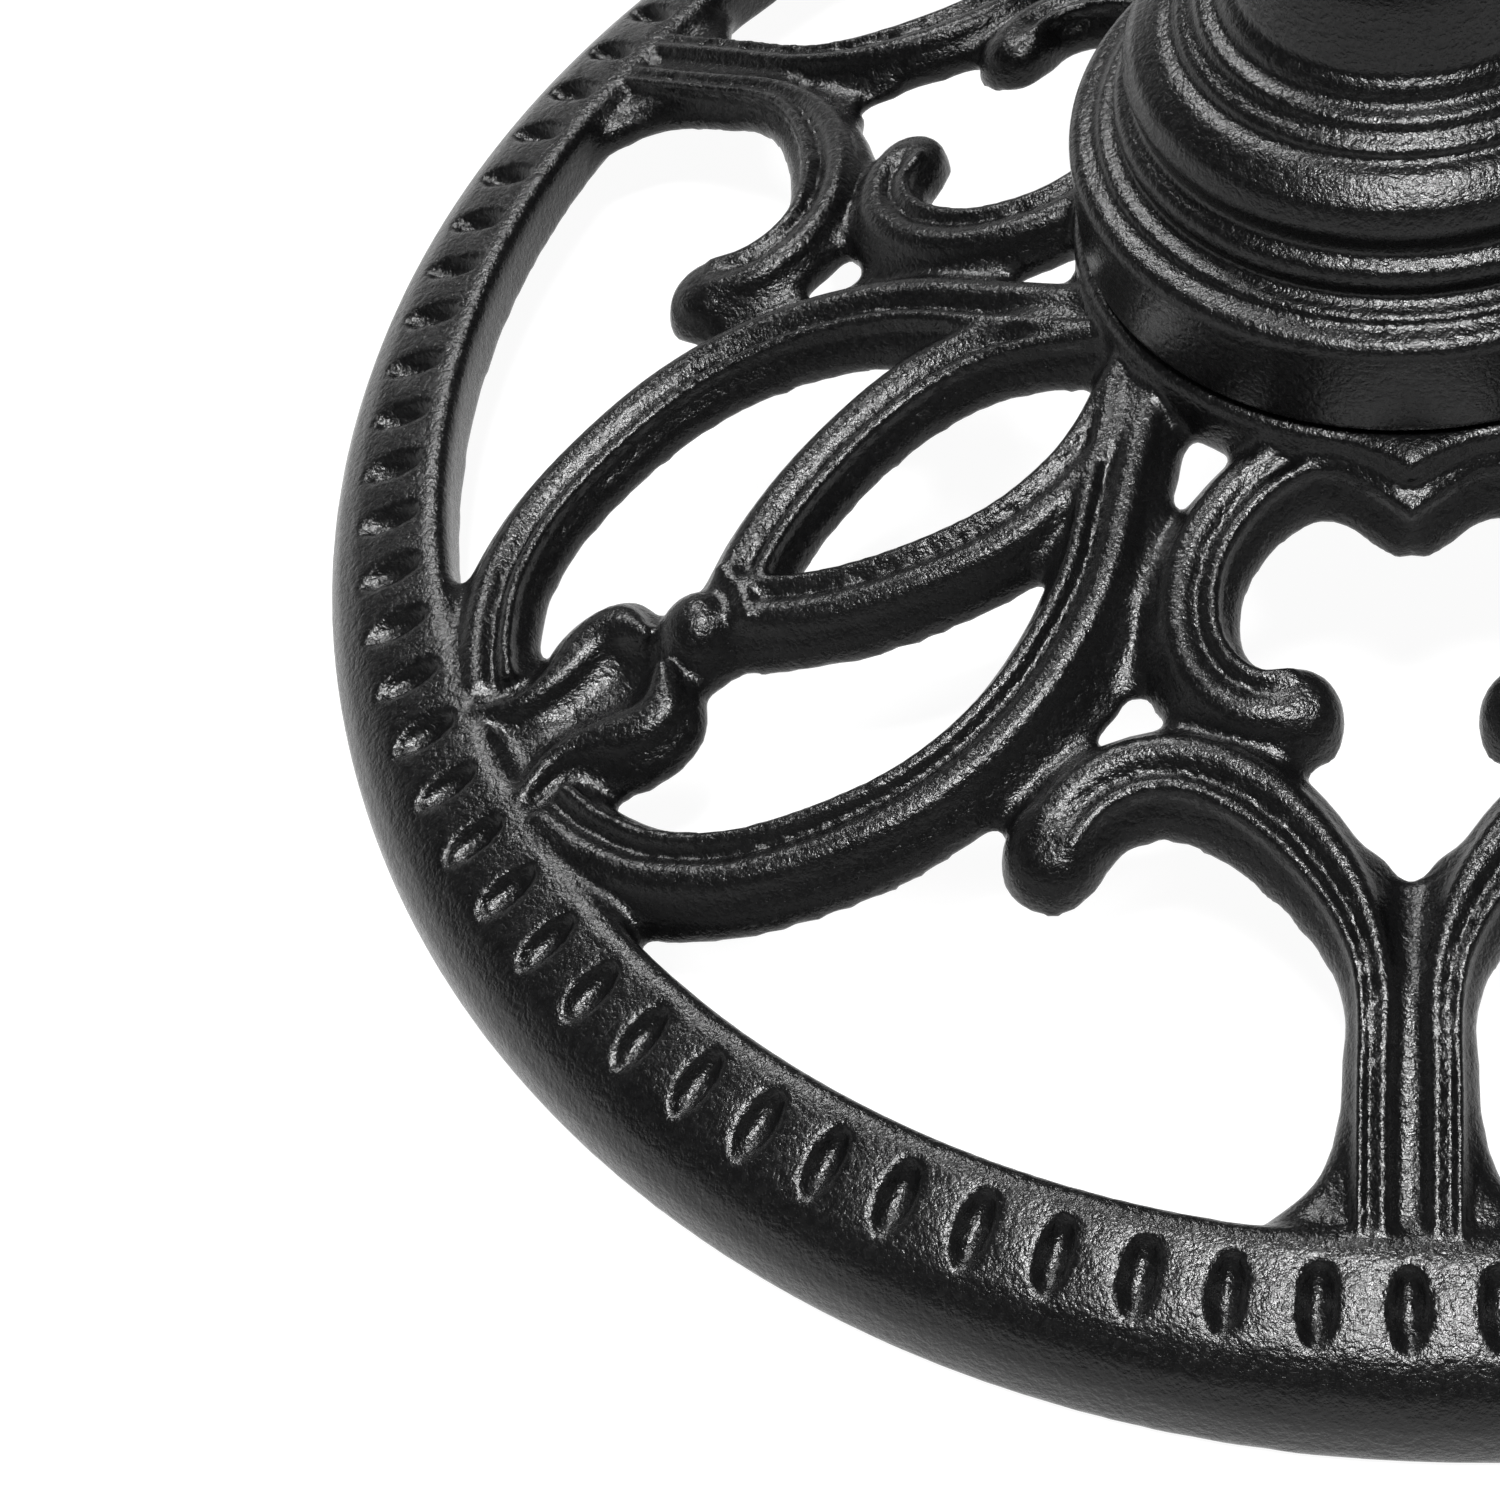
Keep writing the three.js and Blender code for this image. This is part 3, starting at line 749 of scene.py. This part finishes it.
def dial_flange():
    """The flange under the plate, with the spigot that stands in the capital's socket."""
    z0 = millimetres(FLANGE_LOW[2])
    z1 = millimetres(FLANGE_HIGH[2])
    radius = millimetres(FLANGE_HIGH[0])
    outside = [(0, z0), (SPIGOT_R - 1.5, z0), (SPIGOT_R, z0 + 1.5), (SPIGOT_R, FLANGE_FACE),
               (radius - 3.4, FLANGE_FACE), (radius - 2, FLANGE_FACE + 0.5), (radius, FLANGE_FACE + 3.1),
               (radius, z1 - 1), (radius - 0.6, z1), (0, z1)]
    bm = bmesh.new()
    lathe(bm, outside, 160)
    obj = new_object("dial_flange_fine", bm)
    shade(obj, 35)
    return obj


def hour_point(hour, ring):
    """Where the line of an hour, counted from noon, crosses a ring of the plate."""
    s = math.sin(LATITUDE)
    turn = hour * math.pi / 12
    a = math.atan2(s * math.sin(turn), math.cos(turn))
    along = -GNOMON_SOUTH * math.cos(a)
    reach = along + math.sqrt(along * along + ring * ring - GNOMON_SOUTH ** 2)
    return (reach * math.sin(a), GNOMON_SOUTH + reach * math.cos(a))


def raised_bar(bm, start, end, width, high=MARK_RAISED, end_width=None):
    """A low bar with sloping sides between two places on the plate."""
    a, b = Vector(start), Vector(end)
    along = (b - a).normalized()
    side = Vector((-along.y, along.x))
    tip = width if end_width is None else end_width
    foot, crest = [], []
    for p, w, way in ((a, width, -1), (b, tip, 1)):
        for s in (-way, way):
            low = p + side * s * (w / 2 + 0.15) + along * way * 0.15
            up = p + side * s * max(0.05, w / 2 - 0.2) - along * way * 0.1
            foot.append(bm.verts.new((low.x * MM, low.y * MM, (DIAL_TOP - MARK_SUNK) * MM)))
            crest.append(bm.verts.new((up.x * MM, up.y * MM, (DIAL_TOP + high) * MM)))
    bm.faces.new(crest)
    bm.faces.new(list(reversed(foot)))
    for i in range(4):
        j = (i + 1) % 4
        bm.faces.new((foot[i], foot[j], crest[j], crest[i]))


# Each letter's width and the two ends of each of its strokes, as shares of the numeral's height.
LETTERS = {
    "I": (0.24, [((0.12, 0), (0.12, 1))]),
    "V": (0.62, [((0.08, 1), (0.31, 0)), ((0.54, 1), (0.31, 0))]),
    "X": (0.62, [((0.08, 1), (0.54, 0)), ((0.08, 0), (0.54, 1))]),
}
NUMERALS = ["VI", "VII", "VIII", "IX", "X", "XI", "XII", "I", "II", "III", "IV", "V", "VI"]


def numeral(bm, word, hour):
    """A Roman numeral with serifs, its foot towards the dial's centre."""
    cx, cy = hour_point(hour, NUMERAL_R)
    out = math.atan2(cx, cy)
    wide = sum(LETTERS[letter][0] for letter in word)

    def place(u, v):
        across = (u - wide / 2) * NUMERAL_HIGH
        up = (v - 0.5) * NUMERAL_HIGH
        return (cx + across * math.cos(out) + up * math.sin(out),
                cy - across * math.sin(out) + up * math.cos(out))

    start = 0.0
    for letter in word:
        letter_wide, strokes = LETTERS[letter]
        for number, (one, other) in enumerate(strokes):
            thin = letter in "VX" and number == 1
            width = MARK_WIDE * (0.6 if thin else 1.1)
            raised_bar(bm, place(one[0] + start, one[1]), place(other[0] + start, other[1]), width)
            for u, v in (one, other):
                pointed_foot = letter == "V" and v == 0
                if not pointed_foot:
                    raised_bar(bm, place(u + start - SERIF_HALF, v), place(u + start + SERIF_HALF, v),
                               SERIF_WIDE)
        start += letter_wide


def ring_line(bm, radius, wide):
    """A fine raised circle on the plate."""
    foot = DIAL_TOP - MARK_SUNK
    crest = DIAL_TOP + RING_RAISED
    inner, outer = radius - wide / 2, radius + wide / 2
    ring = bmesh.new()
    lathe(ring, [(inner - 0.2, foot), (inner + 0.1, crest), (outer - 0.1, crest), (outer + 0.2, foot)],
          180, closed=True)
    take_in(bm, ring)


def hour_marks():
    """The raised hour lines, ticks, numerals, circles and the rose in the middle."""
    bm = bmesh.new()
    for index, word in enumerate(NUMERALS):
        hour = index - 6
        start, end = (hour_point(hour, ring) for ring in HOUR_LINE)
        raised_bar(bm, start, end, width=0.5, end_width=MARK_WIDE)
        numeral(bm, word, hour)
    for index in range(1, 48):
        hour = -6 + index / 4
        inner = QUARTER_TICK_INNER if index % 2 else HALF_TICK_INNER
        if index % 4:
            raised_bar(bm, hour_point(hour, inner), hour_point(hour, TICK_OUTER), width=0.8, high=0.5)
    for ring, wide in RING_LINES:
        ring_line(bm, ring, wide)
    for index in range(ROSE_RAYS):
        a = index * TAU / ROSE_RAYS
        reach = ROSE_REACH if index % 3 else ROSE_LONG_REACH
        start = (ROSE_INNER * math.cos(a), ROSE_INNER * math.sin(a))
        end = (reach * math.cos(a), reach * math.sin(a))
        raised_bar(bm, start, end, width=2.2, high=0.5, end_width=0.3)
    bmesh.ops.recalc_face_normals(bm, faces=bm.faces)
    return bm


def dial_plate():
    """The plate, its raised edge and its marks."""
    radius = millimetres(PLATE_HIGH[0])
    z0 = millimetres(PLATE_LOW[2])
    top = millimetres(PLATE_HIGH[2])
    rim = [(0, z0), (radius - 3, z0), (radius - 1, z0 + 0.6), (radius, z0 + 2), (radius, top - 1),
           (radius - 1, top), (radius - 3.6, top), (radius - 4.6, top - 0.9), (radius - 5, DIAL_TOP)]
    bm = bmesh.new()
    lathe(bm, [rim[0], *rounded(rim[1:], 0.6), (0, DIAL_TOP)], 240)
    take_in(bm, hour_marks())
    obj = new_object("dial_plate_fine", bm)
    shade(obj, 30)
    return obj


def bezier(points, count):
    """Points along a Bezier curve of any degree."""
    result = []
    for i in range(count + 1):
        t = i / count
        layer = [Vector(p) for p in points]
        while len(layer) > 1:
            layer = [a.lerp(b, t) for a, b in zip(layer, layer[1:])]
        result.append(tuple(layer[0]))
    return result


def gnomon():
    """The upright style plate with softened edges, a scrolled back and an eye."""
    south = GNOMON_SOUTH
    north = millimetres(GNOMON_HIGH[1])
    foot = millimetres(GNOMON_LOW[2])
    high = millimetres(GNOMON_HIGH[2]) - foot
    half = millimetres(GNOMON_HIGH[0])
    bevel = 0.7
    outline = [(south, 0), (0, 0), (north, 0)]
    outline += bezier([(north, 0), (north - 1, 12), (north - 12, 18)], 10)[1:]
    outline += bezier([(north - 12, 18), (8, 34), (40, 50), (30, 70)], 24)[1:]
    outline += bezier([(30, 70), (32, 84), (north, high)], 12)[1:]
    slope = high / (north - south)
    for i in range(1, 20):
        y = north + (south - north) * i / 20
        outline.append((y, (y - south) * slope))
    curve = bpy.data.curves.new("gnomon_fine", "CURVE")
    curve.dimensions = "2D"
    curve.fill_mode = "BOTH"
    curve.extrude = (half - bevel) * MM
    curve.bevel_depth = bevel * MM
    curve.bevel_resolution = 2
    curve.offset = -bevel * MM
    eye_y, eye_z = -1, 21
    eye_half_wide, eye_half_high = 10, 8
    angles = [TAU * i / 40 for i in range(40)]
    eye = [(eye_y + eye_half_wide * math.cos(a), eye_z + eye_half_high * math.sin(a)) for a in angles]
    for points in (outline, eye):
        spline = curve.splines.new("POLY")
        spline.points.add(len(points) - 1)
        for point, (y, z) in zip(spline.points, points):
            point.co = (y * MM, z * MM, 0, 1)
        spline.use_cyclic_u = True
    shell = bpy.data.objects.new("gnomon_shell", curve)
    bpy.context.scene.collection.objects.link(shell)
    depsgraph = bpy.context.evaluated_depsgraph_get()
    mesh = bpy.data.meshes.new_from_object(shell.evaluated_get(depsgraph))
    bpy.data.objects.remove(shell)
    stand = Matrix(((0, 0, 1, 0), (1, 0, 0, 0), (0, 1, 0, foot * MM), (0, 0, 0, 1)))
    mesh.transform(stand)
    obj = bpy.data.objects.new("gnomon_fine", mesh)
    bpy.context.scene.collection.objects.link(obj)
    bm = bmesh.new()
    bm.from_mesh(mesh)
    bmesh.ops.remove_doubles(bm, verts=bm.verts, dist=1e-6)
    bmesh.ops.recalc_face_normals(bm, faces=bm.faces)
    bm.to_mesh(mesh)
    bm.free()
    shade(obj, 35)
    return obj


def slotted_screw(node, head_r, head_face, shank_r, head_up):
    """A domed head with a driver slot, on a plain shank; head_up is false for one put in from below."""
    low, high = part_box(node)
    x = (low[0] + high[0]) / 2
    y = (low[1] + high[1]) / 2
    z0, z1 = millimetres(low[2]), millimetres(high[2])
    if head_up:
        outline = [(0, z0), (shank_r - 0.4, z0), (shank_r, z0 + 0.4), (shank_r, head_face),
                   (head_r - 0.2, head_face), (head_r, head_face + 0.5), (head_r * 0.8, z1 - 0.9),
                   (head_r * 0.4, z1 - 0.1), (0, z1)]
        slot_z = z1
    else:
        outline = [(0, z0), (head_r * 0.4, z0 + 0.1), (head_r * 0.85, z0 + 0.6),
                   (head_r, z0 + 1.3), (head_r, head_face), (shank_r, head_face),
                   (shank_r, z1 - 0.4), (shank_r - 0.4, z1), (0, z1)]
        slot_z = z0
    bm = bmesh.new()
    lathe(bm, outline, 48)
    obj = new_object(f"{node}_fine", bm)
    slot_wide, slot_deep = 0.9, 0.85
    slot_turn = 0.5 + 90 * x      # radians; the dial's three screws each stop at their own angle
    slot = bmesh.new()
    bmesh.ops.create_cube(slot, size=1)
    bmesh.ops.scale(slot, verts=slot.verts, vec=(head_r * 3 * MM, slot_wide * MM, 2 * slot_deep * MM))
    bmesh.ops.rotate(slot, verts=slot.verts, matrix=Matrix.Rotation(slot_turn, 3, "Z"))
    bmesh.ops.translate(slot, verts=slot.verts, vec=(0, 0, slot_z * MM))
    cut_with(obj, new_object("slot", slot))
    obj.data.transform(Matrix.Translation((x, y, 0)))
    shade(obj, 35)
    return obj


# ---- materials --------------------------------------------------------------
MIX_COLOURS_IN = (6, 7)       # the colour sockets of Blender's Mix node
MIX_COLOUR_OUT = 2


def new_material(name):
    """A material with its node tree and its shader."""
    material = bpy.data.materials.new(name)
    material.use_nodes = True
    tree = material.node_tree
    return material, tree, tree.nodes["Principled BSDF"]


def noise(tree, scale, detail, roughness, coordinates):
    node = tree.nodes.new("ShaderNodeTexNoise")
    node.inputs["Scale"].default_value = scale
    node.inputs["Detail"].default_value = detail
    node.inputs["Roughness"].default_value = roughness
    tree.links.new(coordinates.outputs["Object"], node.inputs["Vector"])
    return node


def remap(tree, source, low, high, to_low, to_high):
    """Maps source from low..high to to_low..to_high."""
    node = tree.nodes.new("ShaderNodeMapRange")
    node.inputs["From Min"].default_value = low
    node.inputs["From Max"].default_value = high
    node.inputs["To Min"].default_value = to_low
    node.inputs["To Max"].default_value = to_high
    tree.links.new(source, node.inputs["Value"])
    return node.outputs["Result"]


def bump(tree, height, strength, distance, before=None):
    """A bump whose distance is in millimetres, on top of the one before it."""
    node = tree.nodes.new("ShaderNodeBump")
    node.inputs["Strength"].default_value = strength
    node.inputs["Distance"].default_value = distance * MM
    tree.links.new(height, node.inputs["Height"])
    if before:
        tree.links.new(before, node.inputs["Normal"])
    return node.outputs["Normal"]


def mix_colour(tree, factor, first, second):
    """Mixes two colours, each given as a tuple or as a socket."""
    node = tree.nodes.new("ShaderNodeMix")
    node.data_type = "RGBA"
    tree.links.new(factor, node.inputs["Factor"])
    for number, colour in zip(MIX_COLOURS_IN, (first, second)):
        socket = node.inputs[number]
        if isinstance(colour, tuple):
            socket.default_value = (*colour, 1)
        else:
            tree.links.new(colour, socket)
    return node.outputs[MIX_COLOUR_OUT]


def black_iron():
    """Satin black paint over a sandy casting."""
    material, tree, shader = new_material("black_iron_paint")
    where = tree.nodes.new("ShaderNodeTexCoord")
    sand = noise(tree, 2600, 2.0, 0.6, where)
    grit = noise(tree, 1100, 2.0, 0.5, where)
    wave = noise(tree, 160, 2.0, 0.5, where)
    patch = noise(tree, 45, 3.0, 0.6, where)
    dust = remap(tree, patch.outputs["Fac"], 0.35, 0.7, 0.0, 1.0)
    colour = mix_colour(tree, dust, (0.0016, 0.0016, 0.0017), (0.0030, 0.0030, 0.0031))
    tree.links.new(colour, shader.inputs["Base Color"])
    rough = remap(tree, grit.outputs["Fac"], 0.3, 0.7, 0.22, 0.32)
    tree.links.new(rough, shader.inputs["Roughness"])
    shader.inputs["Specular IOR Level"].default_value = 0.3
    first = bump(tree, wave.outputs["Fac"], 0.35, 0.5)
    second = bump(tree, grit.outputs["Fac"], 0.6, 0.25, first)
    third = bump(tree, sand.outputs["Fac"], 0.7, 0.13, second)
    tree.links.new(third, shader.inputs["Normal"])
    return material


def zinc_steel():
    """Zinc plate with a faint spangle."""
    material, tree, shader = new_material("zinc_steel")
    where = tree.nodes.new("ShaderNodeTexCoord")
    spangle = noise(tree, 260, 3.0, 0.6, where)
    fine = noise(tree, 1800, 2.0, 0.5, where)
    factor = remap(tree, spangle.outputs["Fac"], 0.35, 0.65, 0.0, 1.0)
    colour = mix_colour(tree, factor, (0.42, 0.43, 0.44), (0.56, 0.57, 0.57))
    tree.links.new(colour, shader.inputs["Base Color"])
    shader.inputs["Metallic"].default_value = 1.0
    rough = remap(tree, spangle.outputs["Fac"], 0.3, 0.7, 0.28, 0.42)
    tree.links.new(rough, shader.inputs["Roughness"])
    tree.links.new(bump(tree, fine.outputs["Fac"], 0.2, 0.05), shader.inputs["Normal"])
    return material


def aged_bronze():
    """Brown bronze in uneven tones, with green specks in the weathered patches."""
    material, tree, shader = new_material("aged_bronze")
    where = tree.nodes.new("ShaderNodeTexCoord")
    cloud = noise(tree, 38, 5.0, 0.65, where)
    speck = noise(tree, 420, 4.0, 0.7, where)
    fine = noise(tree, 1500, 2.0, 0.5, where)
    tone = remap(tree, cloud.outputs["Fac"], 0.35, 0.65, 0.0, 1.0)
    brown = mix_colour(tree, tone, (0.065, 0.038, 0.018), (0.15, 0.09, 0.04))
    green_patch = remap(tree, cloud.outputs["Fac"], 0.52, 0.66, 0.0, 0.75)
    green_speck = remap(tree, speck.outputs["Fac"], 0.48, 0.62, 0.0, 1.0)
    product = tree.nodes.new("ShaderNodeMath")
    product.operation = "MULTIPLY"
    tree.links.new(green_patch, product.inputs[0])
    tree.links.new(green_speck, product.inputs[1])
    colour = mix_colour(tree, product.outputs[0], brown, (0.055, 0.12, 0.085))
    tree.links.new(colour, shader.inputs["Base Color"])
    tree.links.new(remap(tree, product.outputs[0], 0.0, 1.0, 0.9, 0.15), shader.inputs["Metallic"])
    tree.links.new(remap(tree, speck.outputs["Fac"], 0.3, 0.7, 0.42, 0.66), shader.inputs["Roughness"])
    first = bump(tree, speck.outputs["Fac"], 0.3, 0.15)
    tree.links.new(bump(tree, fine.outputs["Fac"], 0.3, 0.08, first), shader.inputs["Normal"])
    return material


# ---- stage ------------------------------------------------------------------
def floor():
    """A plain ground that glows white, so that it takes hardly any shadow."""
    bm = bmesh.new()
    bmesh.ops.create_grid(bm, x_segments=1, y_segments=1, size=60)
    obj = new_object("floor", bm)
    material, tree, shader = new_material("pale_floor")
    shader.inputs["Base Color"].default_value = (0.12, 0.12, 0.12, 1)
    shader.inputs["Roughness"].default_value = 0.9
    shader.inputs["Specular IOR Level"].default_value = 0.2
    shader.inputs["Emission Color"].default_value = (1, 1, 1, 1)
    shader.inputs["Emission Strength"].default_value = 0.95
    obj.data.materials.append(material)


def area_light(name, at, towards, size, watts):
    """A rectangular lamp, size wide and high in metres, that faces towards a place."""
    data = bpy.data.lights.new(name, "AREA")
    data.shape = "RECTANGLE"
    data.size, data.size_y = size
    data.energy = watts
    obj = bpy.data.objects.new(name, data)
    obj.location = at
    aim = Vector(towards) - Vector(at)
    obj.rotation_euler = aim.to_track_quat("-Z", "Y").to_euler()
    bpy.context.scene.collection.objects.link(obj)


def sky():
    """A studio that is bright at the horizon and dark overhead."""
    world = bpy.data.worlds.new("studio")
    world.use_nodes = True
    tree = world.node_tree
    where = tree.nodes.new("ShaderNodeTexCoord")
    split = tree.nodes.new("ShaderNodeSeparateXYZ")
    tree.links.new(where.outputs["Generated"], split.inputs["Vector"])
    strength = remap(tree, split.outputs["Z"], 0.0, 0.4, 0.9, 0.02)
    background = tree.nodes["Background"]
    background.inputs["Color"].default_value = (1, 1, 1, 1)
    tree.links.new(strength, background.inputs["Strength"])
    bpy.context.scene.world = world


def lights():
    """A large lamp overhead and a weaker one behind, both far off so that they fall off little."""
    area_light("key", (0.16, -0.92, 3.84), (-0.05, -0.05, 0.03), size=(1.02, 0.9), watts=350)
    area_light("back", (-1.35, 2.25, 3.24), (0, 0, 0.03), size=(1.2, 0.75), watts=140)


def camera():
    """Looks steeply down on the front left of the base, a little rolled."""
    heading = math.radians(-19.76)
    down = math.radians(51.05)
    roll = math.radians(-15.83)
    data = bpy.data.cameras.new("camera")
    data.sensor_width = 36
    data.lens = 79.06
    obj = bpy.data.objects.new("camera", data)
    obj.location = (0.00619, -0.30774, 0.33723)
    aim = Vector((math.sin(heading) * math.cos(down), math.cos(heading) * math.cos(down),
                  -math.sin(down)))
    turn = aim.to_track_quat("-Z", "Y") @ Quaternion((0, 0, 1), roll)
    obj.rotation_euler = turn.to_euler()
    bpy.context.scene.collection.objects.link(obj)
    bpy.context.scene.camera = obj


# ---- assembly ---------------------------------------------------------------
def place(obj, body, node, slot):
    """Puts a fine mesh on its body, in place of its node, with the finish of its slot."""
    obj.data.materials.clear()
    obj.data.materials.append(FINISHES[slot])
    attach(obj, body)
    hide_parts(node)


bpy.context.scene.view_settings.view_transform = "Standard"
camera()
floor()
sky()
lights()

FINISHES = {"black_iron": black_iron(), "steel": zinc_steel(), "bronze": aged_bronze()}

for make, node in ((base_casting, "base_casting"), (column_foot, "column_foot"),
                   (baluster, "baluster"), (middle_collar, "middle_collar"),
                   (upper_shaft, "upper_shaft"), (capital, "capital")):
    place(make(), "pedestal", node, "black_iron")

place(tie_rod(), "pedestal", "tie_rod", "steel")
for make, node in ((washer, "bottom_washer"), (spring_washer, "bottom_spring_washer"),
                   (hex_nut, "bottom_nut"), (washer, "top_washer"), (hex_nut, "top_nut")):
    place(make(node), "pedestal", node, "steel")

place(lock_screw(), "thumb_screw", "lock_screw", "bronze")
for make, node in ((dial_flange, "dial_flange"), (dial_plate, "dial_plate"), (gnomon, "gnomon")):
    place(make(), "dial_head", node, "bronze")
for node in ("gnomon_screw_1", "gnomon_screw_2"):
    screw = slotted_screw(node, head_r=3, head_face=621.7, shank_r=1.5, head_up=False)
    place(screw, "dial_head", node, "bronze")
for node in ("dial_screw_1", "dial_screw_2", "dial_screw_3"):
    screw = slotted_screw(node, head_r=4.6, head_face=627.3, shank_r=2.5, head_up=True)
    place(screw, "dial_head", node, "bronze")
